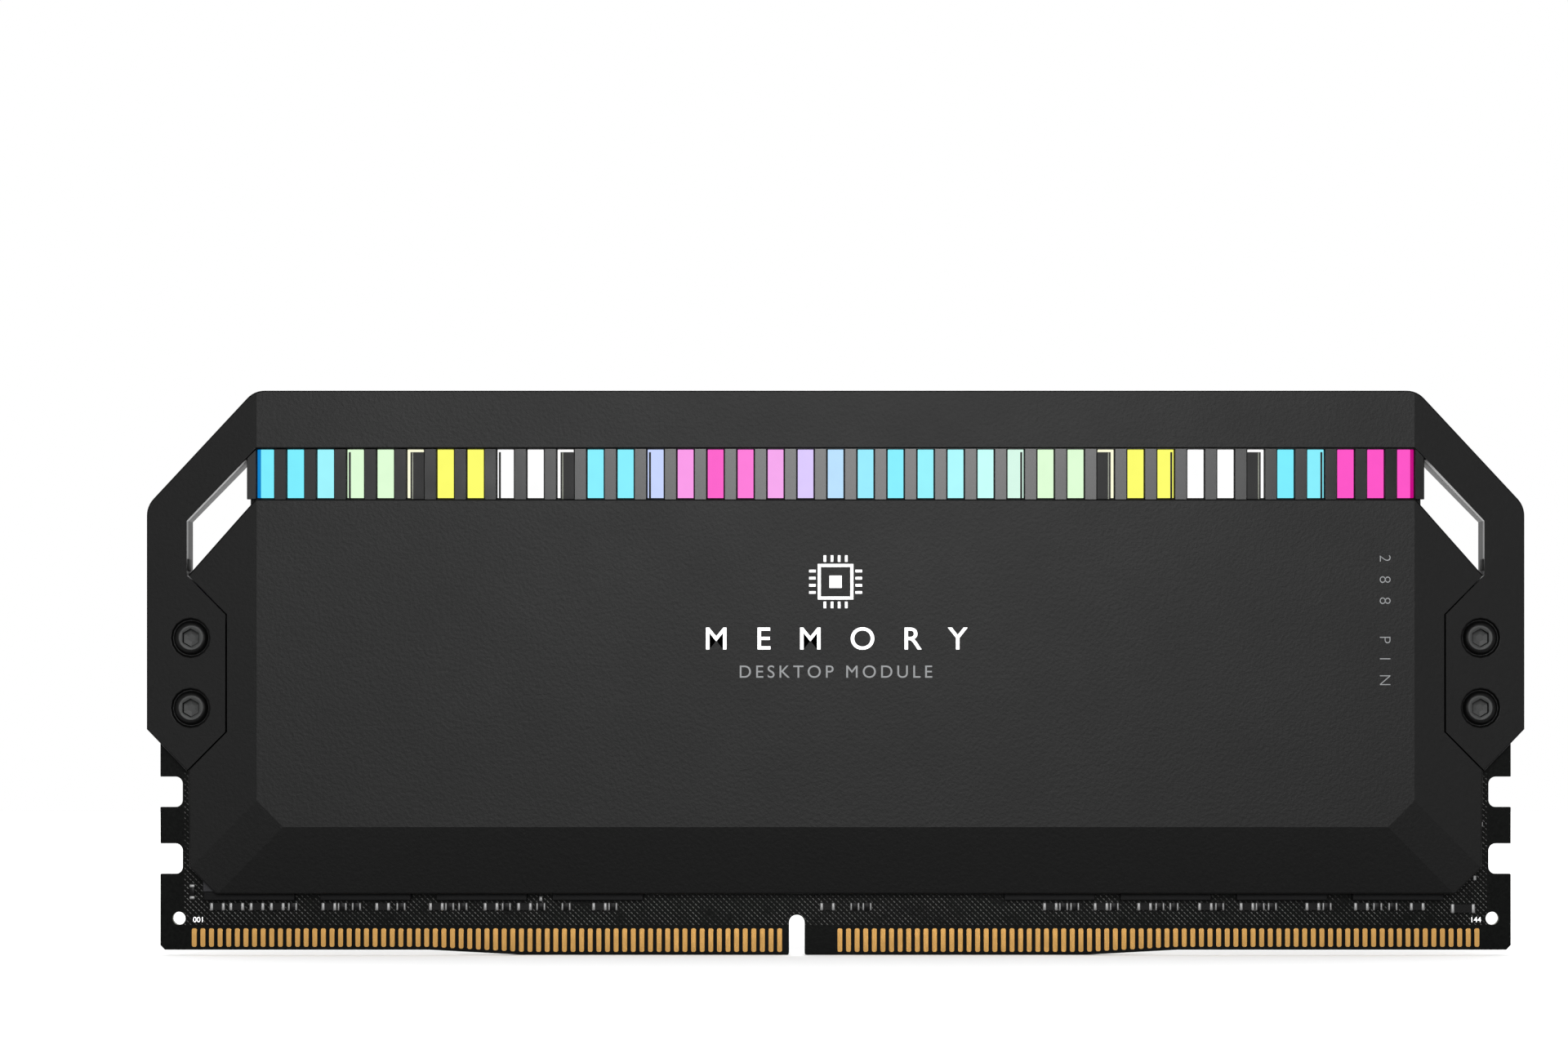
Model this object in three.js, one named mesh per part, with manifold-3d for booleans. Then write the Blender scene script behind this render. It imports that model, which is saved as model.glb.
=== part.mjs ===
// Desktop memory module with a two-piece aluminium heat spreader and a light strip.
// Millimetres, +X along the card, +Z up from the card edge, the front face looks along -Y.
// The origin is the middle of the card edge, on the mid-plane of the circuit board.
import * as THREE from 'three';
import { mergeVertices } from 'three/addons/utils/BufferGeometryUtils.js';
import Module from 'manifold-3d';

const wasm = await Module();
wasm.setup();

// ---- driving dimensions ----
const BOARD_LENGTH = 133.35;
const BOARD_HEIGHT = 31.25;
const BOARD_HALF = 0.635;            // half of the board's thickness
const EDGE_RISE = 0.5;               // the card edge is lowest in its middle stretch
const LEFT_RAMP = [-40.2, -30.8];    // where the card edge slopes, left and right
const RIGHT_RAMP = [24.6, 33.8];
const CORNER_CHAMFER = 0.45;
const KEY = { x: -3.83, width: 1.54, top: 3.95, mouth: 0.2 };
const LATCH = { depth: 2.2, height: 3, radius: 0.7, floors: [8, 14.6] };
const CORNER_HOLE = { inset: 1.83, z: 3.6, radius: 0.65 };

const CONTACT = { pitch: 0.85, width: 0.565, top: 2.63, lift: 0.28, thick: 0.05, rail: 0.12 };
const LEFT_CONTACTS = { first: -63.325, count: 69 };
const RIGHT_CONTACTS = { first: 0.425, count: 75 };

const FACE = 4;                      // mid-plane to the flat outer face of the shell
const INNER = 2.2;                   // mid-plane to the inner face of a heat spreader
const SEAM = 0.05;                   // each half stops this far short of the plane where they meet
const SPLIT = 1.25;                  // the frame halves meet this far in front of the mid-plane
const SLOPE = 0.15;                  // fall of the bevelled faces per millimetre
const CREASE = { x: 56.85, z: 12.7, corner: 2.6 };

const FRAME = {
  side: 67.83, shoulder: 44.3, top: 55.58, topCorner: 57.1, corner: 2.4, foot: 22.3, barBottom: 49.9,
};
const WINDOW = { x: 63.83, corner: 42.8, topCorner: 57 };
const TAB = { inner: 59.9, point: 63.75, high: 37.45, highWaist: 33.6, lowWaist: 22.05, low: 18.2 };
const SEAM_SHIFT = 0.08;             // half of the visible joint line, measured along X
const PANEL = { top: 44.9, topCorner: 56.95, side: 63.55, bottom: 6.1, corner: 2.6 };

const SCREW = {
  x: 63.45, heights: [24.4, 31.3], headRadius: 1.7, head: 0.55, seat: 2.3, shank: 0.95, end: 0.9,
  socket: 0.75, socketDepth: 0.4, boreRadius: 1.9, clearance: 1.1, thread: 1,
};
const EAR = { inner: 57, outer: 66.3, low: 22.9, high: 32.9, near: 0.75, far: 1.75, post: 59.6 };
const POCKET = { outer: 66.95, high: 34.3, depth: 1.85 };

const RIB = { pitch: 2.95, count: 39, width: 1.5, opening: 1.75, face: 3.4 };
const STRIP = { end: 57.85, low: 45.03, high: 49.82 };
const GRILLE = { low: 43.7, high: 51.1, near: 2.6, far: 3.6 };
const DIFFUSER = { end: 57.6, low: 43.6, high: 51, half: 2.5 };
const REBATE = { end: 58.05, low: 43.5, high: 51.3, depth: 3.65 };
const LED_BOARD = { end: 54, low: 33, high: 42.6, half: 0.4 };
const LED = { count: 12, spacing: 9.2, width: 1.6, height: 0.8, half: 0.35 };

const CHIP = { width: 9, low: 5.4, height: 11, top: 1.7, pitch: 11.45, perSide: 4 };
const CHIP_STARTS = [-57.8, 21.1];   // centre of the first chip on each side
const PAD_LOW = 6.3;
const REAR_PAD = { end: 60, low: 6.6, high: 20 };
const REGULATOR = { x: 4.2, z: 19, width: 5, height: 5, top: 1.55 };
const INDUCTOR = { xs: [-3.4, 10.2, 15.2], z: 19.5, width: 3.6, height: 3.6, top: 1.85 };
const HUB = { x: -9.5, z: 18.5, width: 3, height: 2.4, top: 1.35 };
const CONNECTOR = { x: 34, z: 28.1, width: 7, height: 3, top: 1.85 };
const RIBBON = { width: 5, half: 0.075 };

// ---- materials ----
function material(color, roughness, metalness) {
  return new THREE.MeshStandardMaterial({ color, roughness, metalness, flatShading: true });
}
const BLACK_METAL = material(0x353635, 0.62, 0.4);
const DARK_METAL = material(0x1d1e1e, 0.4, 0.6);
const FIN_METAL = material(0x4c5050, 0.3, 0.7);
const BLACK_BOARD = material(0x1b1c1b, 0.6, 0);
const GOLD = material(0xc8a260, 0.35, 0.9);
const CHIP_BLACK = material(0x161616, 0.55, 0);
const MILKY = material(0xe9f4f6, 0.4, 0);
const WHITE = material(0xf2f2ea, 0.5, 0);
const PAD_GREY = material(0x8b8f92, 0.85, 0);
const RIBBON_AMBER = material(0x6b3d14, 0.45, 0);

// ---- outlines ----
// Corners are [u, v] or [u, v, radius]; a radius rounds the corner with a true arc.
function outline(corners, steps = 6) {
  const points = [];
  corners.forEach(([u, v, radius], index) => {
    const corner = new THREE.Vector2(u, v);
    if (!radius) {
      points.push(corner);
      return;
    }
    const before = corners[(index + corners.length - 1) % corners.length];
    const after = corners[(index + 1) % corners.length];
    const back = new THREE.Vector2(before[0] - u, before[1] - v).normalize();
    const ahead = new THREE.Vector2(after[0] - u, after[1] - v).normalize();
    const half = Math.acos(back.dot(ahead)) / 2;
    const bisector = back.clone().add(ahead).normalize();
    const centre = corner.clone().addScaledVector(bisector, radius / Math.sin(half));
    const sweep = (Math.PI - 2 * half) * Math.sign(back.cross(ahead)) * -1;
    const start = corner.clone().addScaledVector(back, radius / Math.tan(half)).sub(centre);
    for (let step = 0; step <= steps; step += 1) {
      const spoke = start.clone().rotateAround(new THREE.Vector2(), (sweep * step) / steps);
      points.push(spoke.add(centre));
    }
  });
  return new THREE.Shape(points);
}

// Takes the right-hand corners from bottom to top and adds their mirror images.
function symmetric(rightCorners) {
  const left = rightCorners.map(([u, v, radius]) => [-u, v, radius]).reverse();
  return [...rightCorners, ...left];
}

// ---- solids ----
function toSolid(geometry) {
  geometry.deleteAttribute('normal');
  geometry.deleteAttribute('uv');
  const merged = mergeVertices(geometry, 1e-4);
  return new wasm.Manifold(new wasm.Mesh({
    numProp: 3,
    vertProperties: new Float32Array(merged.attributes.position.array),
    triVerts: new Uint32Array(merged.index.array),
  }));
}

function toGeometry(solid) {
  const { vertProperties, triVerts } = solid.getMesh();
  const geometry = new THREE.BufferGeometry();
  geometry.setAttribute('position', new THREE.BufferAttribute(vertProperties, 3));
  geometry.setIndex(new THREE.BufferAttribute(triVerts, 1));
  return geometry;
}

const AXIS_X = new THREE.Vector3(1, 0, 0);
const AXIS_Y = new THREE.Vector3(0, 1, 0);
const AXIS_Z = new THREE.Vector3(0, 0, 1);

// An outline drawn in X and Z, as a plate from y = low to y = high.
function plate(shape, low, high) {
  const options = { depth: high - low, bevelEnabled: false, curveSegments: 10 };
  const geometry = new THREE.ExtrudeGeometry(shape, options);
  const turn = new THREE.Matrix4().makeBasis(AXIS_X, AXIS_Z, AXIS_Y.clone().negate());
  return toSolid(geometry.applyMatrix4(turn).translate(0, high, 0));
}

// An outline drawn in Y and Z, as a bar from x = low to x = high.
function bar(shape, low, high) {
  const geometry = new THREE.ExtrudeGeometry(shape, { depth: high - low, bevelEnabled: false });
  const turn = new THREE.Matrix4().makeBasis(AXIS_Y, AXIS_Z, AXIS_X);
  return toSolid(geometry.applyMatrix4(turn).translate(low, 0, 0));
}

// An outline drawn in X and Y, as a column from z = low to z = high.
function column(shape, low, high) {
  const geometry = new THREE.ExtrudeGeometry(shape, { depth: high - low, bevelEnabled: false });
  return toSolid(geometry.translate(0, 0, low));
}

function block(x, y, z) {
  const geometry = new THREE.BoxGeometry(x[1] - x[0], y[1] - y[0], z[1] - z[0]);
  return toSolid(geometry.translate((x[0] + x[1]) / 2, (y[0] + y[1]) / 2, (z[0] + z[1]) / 2));
}

function rod(x, z, radius, low, high, sides = 16) {
  const geometry = new THREE.CylinderGeometry(radius, radius, high - low, sides);
  return toSolid(geometry.translate(x, (low + high) / 2, z));
}

// Cuts off what lies in front of a sloping plane through (x, -FACE, z).
function bevel(solid, x, z, slopeX, slopeZ) {
  const size = 400;
  const depth = 20;
  const outward = new THREE.Vector3(slopeX, -1, slopeZ).normalize();
  const turn = new THREE.Quaternion().setFromUnitVectors(AXIS_Z, outward);
  const centre = new THREE.Vector3(x, -FACE, z).addScaledVector(outward, depth / 2);
  const place = new THREE.Matrix4().compose(centre, turn, new THREE.Vector3(1, 1, 1));
  const cutter = new THREE.BoxGeometry(size, size, depth).applyMatrix4(place);
  return solid.subtract(toSolid(cutter));
}

function bevelSides(solid) {
  return bevel(bevel(solid, CREASE.x, 0, SLOPE, 0), -CREASE.x, 0, -SLOPE, 0);
}

// The bottom bevel and the two facets that join it to the side bevels.
function bevelBottom(solid) {
  const half = SLOPE / 2;
  const cut = bevel(solid, 0, CREASE.z, 0, -SLOPE);
  const right = bevel(cut, CREASE.x, CREASE.z + CREASE.corner, half, -half);
  return bevel(right, -CREASE.x, CREASE.z + CREASE.corner, -half, -half);
}

// ---- circuit board ----
function edgeHeight(x) {
  const fall = THREE.MathUtils.clamp((x - LEFT_RAMP[0]) / (LEFT_RAMP[1] - LEFT_RAMP[0]), 0, 1);
  const rise = THREE.MathUtils.clamp((x - RIGHT_RAMP[0]) / (RIGHT_RAMP[1] - RIGHT_RAMP[0]), 0, 1);
  return EDGE_RISE * (1 - fall + rise);
}

function boardSide() {
  const end = BOARD_LENGTH / 2;
  const corners = [[end - CORNER_CHAMFER, EDGE_RISE], [end, EDGE_RISE + CORNER_CHAMFER]];
  for (const floor of LATCH.floors) {
    corners.push([end, floor]);
    corners.push([end - LATCH.depth, floor, LATCH.radius]);
    corners.push([end - LATCH.depth, floor + LATCH.height, LATCH.radius]);
    corners.push([end, floor + LATCH.height]);
  }
  corners.push([end, BOARD_HEIGHT]);
  return corners;
}

function keyNotch() {
  const half = KEY.width / 2;
  return [
    [KEY.x - half, 0, KEY.mouth],
    [KEY.x - half, KEY.top, half * 0.98],
    [KEY.x + half, KEY.top, half * 0.98],
    [KEY.x + half, 0, KEY.mouth],
  ];
}

function board() {
  const shape = outline([
    [LEFT_RAMP[0], EDGE_RISE], [LEFT_RAMP[1], 0],
    ...keyNotch(),
    [RIGHT_RAMP[0], 0], [RIGHT_RAMP[1], EDGE_RISE],
    ...symmetric(boardSide()),
  ]);
  for (const side of [-1, 1]) {
    const hole = new THREE.Path();
    const x = side * (BOARD_LENGTH / 2 - CORNER_HOLE.inset);
    hole.absarc(x, CORNER_HOLE.z, CORNER_HOLE.radius, 0, 2 * Math.PI);
    shape.holes.push(hole);
  }
  return plate(shape, -BOARD_HALF, BOARD_HALF);
}

// One row of contacts, held together by a narrow rail along their upper ends.
function contactComb({ first, count }, low, high) {
  const half = CONTACT.width / 2;
  const last = first + (count - 1) * CONTACT.pitch;
  const corners = [[last + half, CONTACT.top + CONTACT.rail], [first - half, CONTACT.top + CONTACT.rail]];
  for (let index = 0; index < count; index += 1) {
    const x = first + index * CONTACT.pitch;
    const foot = edgeHeight(x) + CONTACT.lift;
    if (index > 0) {
      corners.push([x - half, CONTACT.top]);
    }
    corners.push([x - half, foot], [x + half, foot]);
    if (index < count - 1) {
      corners.push([x + half, CONTACT.top]);
    }
  }
  return plate(outline(corners), low, high);
}

// ---- shell ----
// The joint line between a heat spreader and the tab of the frame, from top to bottom.
function tabJoint(shift) {
  return [
    [TAB.point + shift, TAB.high], [TAB.inner + shift, TAB.highWaist],
    [TAB.inner + shift, TAB.lowWaist], [TAB.point + shift, TAB.low],
  ];
}

function mirrored(solid) {
  return solid.mirror([1, 0, 0]);
}

function withBothSides(solid, piece, operation) {
  return solid[operation](piece)[operation](mirrored(piece));
}

function frameOutline() {
  const outer = [
    [FRAME.side, FRAME.foot],
    [FRAME.side, FRAME.shoulder, FRAME.corner],
    [FRAME.topCorner, FRAME.top, FRAME.corner],
  ];
  const inner = [[WINDOW.topCorner, FRAME.barBottom], [WINDOW.x, WINDOW.corner], ...tabJoint(SEAM_SHIFT)];
  const leftOuter = outer.map(([u, v, radius]) => [-u, v, radius]).reverse();
  const leftInner = inner.map(([u, v]) => [-u, v]).reverse();
  return outline([...outer, ...leftOuter, ...leftInner, ...inner]);
}

function screwHoles(radius, low, high) {
  const [lower, upper] = SCREW.heights.map((z) => rod(SCREW.x, z, radius, low, high));
  return lower.add(upper);
}

// One half of the frame, from its outer face back to where it meets the other half.
function frameHalf(back) {
  const blank = bevelSides(plate(frameOutline(), -FACE, back - SEAM));
  const lightRebate = block([-REBATE.end, REBATE.end], [-REBATE.depth, FACE], [REBATE.low, REBATE.high]);
  const pocket = block([EAR.inner, POCKET.outer], [-POCKET.depth, FACE], [0, POCKET.high]);
  const hollow = withBothSides(blank.subtract(lightRebate), pocket, 'subtract');
  const bored = withBothSides(hollow, screwHoles(SCREW.clearance, -FACE, 0), 'subtract');
  return withBothSides(bored, screwHoles(SCREW.boreRadius, -FACE - 1, -SCREW.seat), 'subtract');
}

function spreaderOutline() {
  const right = [
    [PANEL.side - PANEL.corner, PANEL.bottom, 0.4],
    [PANEL.side, PANEL.bottom + PANEL.corner, 0.4],
    ...tabJoint(-SEAM_SHIFT).reverse(),
    [PANEL.topCorner, PANEL.top],
  ];
  return outline(symmetric(right));
}

// The closing wall inside the slanted upper edge of a spreader.
function windowWall() {
  const thickness = 1.1;
  const low = 38;
  const high = 43.3;
  const run = (PANEL.topCorner - TAB.point + SEAM_SHIFT) / (PANEL.top - TAB.high);
  const edge = (z) => PANEL.topCorner + run * (z - PANEL.top);
  const shape = outline([
    [edge(low) - thickness, low], [edge(low), low],
    [edge(high), high], [edge(high) - thickness, high],
  ]);
  return plate(shape, -INNER - 0.1, -SEAM);
}

// The ear that carries the screw threads, stepped in under the tab of the frame.
function ear() {
  const tongue = block([EAR.inner, EAR.outer], [-EAR.far, -EAR.near], [EAR.low, EAR.high]);
  const post = block([EAR.inner, EAR.post], [-INNER - 0.1, -EAR.near], [EAR.low, EAR.high]);
  return tongue.add(post).subtract(screwHoles(SCREW.thread, -FACE, 0));
}

function spreader() {
  const panel = bevelBottom(bevelSides(plate(spreaderOutline(), -FACE, -INNER)));
  const lightRebate = block([-REBATE.end, REBATE.end], [-REBATE.depth, 0], [REBATE.low, REBATE.high]);
  const walled = withBothSides(panel, windowWall(), 'add');
  return withBothSides(walled, ear(), 'add').subtract(lightRebate);
}

// A low round-headed screw with a hexagon socket, along Y, its head facing -Y.
function screw() {
  const top = SCREW.seat + SCREW.head;
  const profile = [
    [0, SCREW.end], [SCREW.shank - 0.15, SCREW.end], [SCREW.shank, SCREW.end + 0.15],
    [SCREW.shank, SCREW.seat], [SCREW.headRadius, SCREW.seat],
    [SCREW.headRadius, top - 0.3], [SCREW.headRadius - 0.4, top], [0, top],
  ];
  const lathe = new THREE.LatheGeometry(profile.map(([r, y]) => new THREE.Vector2(r, y)), 12);
  const socket = new THREE.CylinderGeometry(SCREW.socket, SCREW.socket, 2 * SCREW.socketDepth, 6);
  return toSolid(lathe).subtract(toSolid(socket.translate(0, top, 0)));
}

// ---- light strip ----
function ribCentres() {
  const middle = (RIB.count - 1) / 2;
  return Array.from({ length: RIB.count }, (_, index) => (index - middle) * RIB.pitch);
}

function grille() {
  const half = RIB.opening / 2;
  const blank = block([-STRIP.end, STRIP.end], [-GRILLE.far, -GRILLE.near], [GRILLE.low, GRILLE.high]);
  return ribCentres().reduce((solid, x) => {
    const opening = block([x - half, x + half], [-FACE, 0], [STRIP.low, STRIP.high]);
    return solid.subtract(opening);
  }, blank);
}

// The diffuser: a plain core, with a raised rib for every opening of both grilles.
function diffuser() {
  const half = RIB.width / 2;
  const front = ribCentres().flatMap((x) => [
    [x - half, -DIFFUSER.half], [x - half, -RIB.face], [x + half, -RIB.face], [x + half, -DIFFUSER.half],
  ]);
  const back = front.map(([x, y]) => [-x, -y]);
  const ribs = column(outline([...front, ...back]), STRIP.low + 0.1, STRIP.high - 0.1);
  const depth = [-DIFFUSER.half, DIFFUSER.half];
  const core = block([-DIFFUSER.end, DIFFUSER.end], depth, [DIFFUSER.low, DIFFUSER.high]);
  return core.add(ribs);
}

// A flexible strip that leaves the connector and lies up the face of the light board.
function ribbon() {
  const near = LED_BOARD.half + RIBBON.half;
  const far = 1.2;
  const plug = CONNECTOR.z + CONNECTOR.height / 2;
  const route = [[-near, 38], [-near, 34], [-far, 31.8], [-far, plug]];
  const front = route.map(([y, z]) => [y - RIBBON.half, z]);
  const back = route.map(([y, z]) => [y + RIBBON.half, z]).reverse();
  const left = CONNECTOR.x - RIBBON.width / 2;
  return bar(outline([...front, ...back]), left, left + RIBBON.width);
}

// ---- assembly ----
const module = new THREE.Group();

function addPart(name, solid, look, turned = false) {
  const mesh = new THREE.Mesh(toGeometry(solid), look);
  mesh.name = name;
  if (turned) {
    mesh.rotation.z = Math.PI;
  }
  module.add(mesh);
  return mesh;
}

// A part on the front face of the board, as high as top from the mid-plane.
function surfacePart(name, { x, z, width, height, top }, look) {
  const solid = block([x - width / 2, x + width / 2], [-top, -BOARD_HALF], [z - height / 2, z + height / 2]);
  addPart(name, solid, look);
}

function addBoard() {
  addPart('circuit_board', board(), BLACK_BOARD);
  const near = BOARD_HALF;
  const far = BOARD_HALF + CONTACT.thick;
  addPart('front_contacts_left', contactComb(LEFT_CONTACTS, -far, -near), GOLD);
  addPart('front_contacts_right', contactComb(RIGHT_CONTACTS, -far, -near), GOLD);
  addPart('rear_contacts_left', contactComb(LEFT_CONTACTS, near, far), GOLD);
  addPart('rear_contacts_right', contactComb(RIGHT_CONTACTS, near, far), GOLD);
}

function addChips() {
  const z = CHIP.low + CHIP.height / 2;
  CHIP_STARTS.forEach((start, side) => {
    for (let index = 0; index < CHIP.perSide; index += 1) {
      const x = start + index * CHIP.pitch;
      const name = `memory_chip_${side * CHIP.perSide + index + 1}`;
      surfacePart(name, { ...CHIP, x, z }, CHIP_BLACK);
    }
  });
  surfacePart('power_regulator', REGULATOR, CHIP_BLACK);
  surfacePart('hub_chip', HUB, CHIP_BLACK);
  INDUCTOR.xs.forEach((x, index) => {
    surfacePart(`inductor_${index + 1}`, { ...INDUCTOR, x }, PAD_GREY);
  });
}

function addThermalPads() {
  const high = CHIP.low + CHIP.height;
  ['left', 'right'].forEach((side, index) => {
    const low = CHIP_STARTS[index] - CHIP.width / 2;
    const end = low + (CHIP.perSide - 1) * CHIP.pitch + CHIP.width;
    addPart(`thermal_pad_${side}`, block([low, end], [-INNER, -CHIP.top], [PAD_LOW, high]), PAD_GREY);
  });
  const reach = REGULATOR.width / 2;
  const over = block(
    [REGULATOR.x - reach, REGULATOR.x + reach],
    [-INNER, -REGULATOR.top],
    [REGULATOR.z - reach, REGULATOR.z + reach],
  );
  addPart('thermal_pad_regulator', over, PAD_GREY);
  const rear = block([-REAR_PAD.end, REAR_PAD.end], [BOARD_HALF, INNER], [REAR_PAD.low, REAR_PAD.high]);
  addPart('thermal_pad_rear', rear, PAD_GREY);
}

function addLights() {
  const { end, low, high, half } = LED_BOARD;
  addPart('light_board', block([-end, end], [-half, half], [low, high]), BLACK_BOARD);
  for (let index = 0; index < LED.count; index += 1) {
    const x = (index - (LED.count - 1) / 2) * LED.spacing;
    const sides = [x - LED.width / 2, x + LED.width / 2];
    const lamp = block(sides, [-LED.half, LED.half], [high, high + LED.height]);
    addPart(`led_${index + 1}`, lamp, WHITE);
  }
  surfacePart('light_connector', CONNECTOR, WHITE);
  addPart('light_ribbon', ribbon(), RIBBON_AMBER);
  addPart('light_diffuser', diffuser(), MILKY);
  addPart('front_grille', grille(), FIN_METAL);
  addPart('rear_grille', grille(), FIN_METAL, true);
}

function addShell() {
  addPart('front_spreader', spreader(), BLACK_METAL);
  addPart('rear_spreader', spreader(), BLACK_METAL, true);
  addPart('front_frame', frameHalf(-SPLIT), BLACK_METAL);
  addPart('rear_frame', frameHalf(SPLIT), BLACK_METAL, true);
}

function addScrews() {
  for (const face of ['front', 'rear']) {
    for (const side of ['left', 'right']) {
      SCREW.heights.forEach((z, index) => {
        const name = `${face}_screw_${side}_${['lower', 'upper'][index]}`;
        const mesh = addPart(name, screw(), DARK_METAL);
        mesh.rotation.z = face === 'front' ? Math.PI : 0;
        mesh.position.set(side === 'left' ? -SCREW.x : SCREW.x, 0, z);
      });
    }
  }
}

addBoard();
addChips();
addThermalPads();
addLights();
addShell();
addScrews();

export default module;
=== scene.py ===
"""Looks of a desktop memory module with a black heat spreader and a light strip.

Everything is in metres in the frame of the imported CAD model: X along the card, Z up from the
card edge, the front face looks along -Y.
"""
import math

import bmesh
import bpy
from mathutils import Matrix, Vector


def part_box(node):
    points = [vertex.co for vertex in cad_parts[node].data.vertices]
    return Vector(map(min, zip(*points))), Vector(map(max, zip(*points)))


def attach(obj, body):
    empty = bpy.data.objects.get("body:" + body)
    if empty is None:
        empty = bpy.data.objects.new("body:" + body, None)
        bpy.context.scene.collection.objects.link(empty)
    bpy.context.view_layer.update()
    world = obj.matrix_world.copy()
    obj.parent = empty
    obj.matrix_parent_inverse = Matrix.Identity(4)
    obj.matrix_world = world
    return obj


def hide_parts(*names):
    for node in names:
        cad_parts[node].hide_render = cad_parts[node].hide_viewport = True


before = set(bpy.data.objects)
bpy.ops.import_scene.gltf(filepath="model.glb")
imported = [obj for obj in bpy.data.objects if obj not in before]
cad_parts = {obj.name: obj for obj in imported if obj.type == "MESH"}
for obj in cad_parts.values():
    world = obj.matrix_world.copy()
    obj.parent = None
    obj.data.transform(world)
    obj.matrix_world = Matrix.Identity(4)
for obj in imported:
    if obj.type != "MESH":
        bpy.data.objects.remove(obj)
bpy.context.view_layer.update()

MM = 0.001
FRONT = -1                           # which way along Y each face looks
REAR = 1
FACES = (("front", FRONT), ("rear", REAR))
SIDES = (("left", -1), ("right", 1))


# ---- reading the frame ----
def low(node):
    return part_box(node)[0]


def high(node):
    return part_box(node)[1]


def centre(node):
    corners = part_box(node)
    return (corners[0] + corners[1]) / 2


# Distances from the mid-plane to the outer faces.
SHELL_FACE = high("rear_spreader").y
BOARD_FACE = high("circuit_board").y
GRILLE_FACE = high("rear_grille").y
RIB_FACE = high("light_diffuser").y

PANEL_TOP = 44.9 * MM                # top of the spreader's flat face
CREASE_X = 56.85 * MM                # where the spreader's sides begin to slope
SCREW_AXES = [centre(f"front_screw_right_{level}") for level in ("lower", "upper")]


# ---- node trees ----
def new_material(name, color, roughness, specular=0.5, metallic=0.0):
    material = bpy.data.materials.new(name)
    material.use_nodes = True
    shader = shader_of(material)
    shader.inputs["Base Color"].default_value = (*color, 1)
    shader.inputs["Roughness"].default_value = roughness
    shader.inputs["Metallic"].default_value = metallic
    shader.inputs["Specular IOR Level"].default_value = specular
    return material


def shader_of(material):
    return material.node_tree.nodes["Principled BSDF"]


def link(material, source, target):
    material.node_tree.links.new(source, target)


def place(material):
    """Object coordinates, which are the frame's metres."""
    return material.node_tree.nodes.new("ShaderNodeTexCoord").outputs["Object"]


def noise(material, size, detail=2.0, rough=0.5, stretch=(1, 1, 1)):
    """Noise whose blobs are about size metres across."""
    nodes = material.node_tree.nodes
    mapping = nodes.new("ShaderNodeMapping")
    mapping.inputs["Scale"].default_value = stretch
    link(material, place(material), mapping.inputs["Vector"])
    texture = nodes.new("ShaderNodeTexNoise")
    texture.inputs["Scale"].default_value = 1 / size
    texture.inputs["Detail"].default_value = detail
    texture.inputs["Roughness"].default_value = rough
    link(material, mapping.outputs["Vector"], texture.inputs["Vector"])
    return texture.outputs["Fac"]


def ramp(material, value, stops):
    """Maps value through (place, grey or colour) stops."""
    node = material.node_tree.nodes.new("ShaderNodeValToRGB")
    for element, (position, color) in zip(node.color_ramp.elements, stops):
        element.position = position
        channels = color if isinstance(color, tuple) else (color, color, color)
        element.color = (*channels, 1)
    link(material, value, node.inputs["Fac"])
    return node.outputs["Color"]


def math_node(material, operation, first, second=0.0, third=0.0):
    node = material.node_tree.nodes.new("ShaderNodeMath")
    node.operation = operation
    for socket, value in zip(node.inputs, (first, second, third)):
        if isinstance(value, (int, float)):
            socket.default_value = value
        else:
            link(material, value, socket)
    return node.outputs[0]


def mix_colors(material, factor, first, second):
    """The first colour where factor is 0 and the second where it is 1."""
    node = material.node_tree.nodes.new("ShaderNodeMix")
    node.data_type = "RGBA"
    color_inputs = [socket for socket in node.inputs if socket.type == "RGBA"]
    link(material, factor, node.inputs[0])
    for socket, value in zip(color_inputs, (first, second)):
        if isinstance(value, tuple):
            socket.default_value = (*value, 1)
        else:
            link(material, value, socket)
    return next(socket for socket in node.outputs if socket.type == "RGBA")


def bump(material, height, depth):
    """Relief of about depth metres between height 0 and 1."""
    node = material.node_tree.nodes.new("ShaderNodeBump")
    node.inputs["Strength"].default_value = 1.0
    node.inputs["Distance"].default_value = depth
    link(material, height, node.inputs["Height"])
    link(material, node.outputs["Normal"], shader_of(material).inputs["Normal"])


def set_roughness(material, value):
    link(material, value, shader_of(material).inputs["Roughness"])


def set_color(material, value):
    link(material, value, shader_of(material).inputs["Base Color"])


def scaled(color, factor):
    return tuple(channel * factor for channel in color)


def vary_color(material, pattern, color, amount, reach):
    """Darker and lighter by that part of the colour where pattern is reach below and above 0.5."""
    darker = scaled(color, 1 - amount)
    lighter = scaled(color, 1 + amount)
    set_color(material, ramp(material, pattern, [(0.5 - reach, darker), (0.5 + reach, lighter)]))


def vary_roughness(material, pattern, roughness, amount):
    stops = [(0.3, roughness - amount), (0.7, roughness + amount)]
    set_roughness(material, ramp(material, pattern, stops))


# ---- materials ----
def powder_coat(name, color, roughness, specular):
    """Fine leathery powder coat on aluminium, with faint handling marks."""
    material = new_material(name, color, roughness, specular)
    grain = noise(material, size=0.34 * MM, detail=3.0, rough=0.6)
    pores = noise(material, size=0.13 * MM)
    relief = math_node(material, "MULTIPLY_ADD", pores, 0.3, grain)
    bump(material, relief, depth=0.019 * MM)
    clouds = noise(material, size=9 * MM, detail=3.0, rough=0.6)
    vary_roughness(material, clouds, roughness, 0.012)
    vary_color(material, grain, color, amount=0.3, reach=0.15)
    return material


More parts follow.
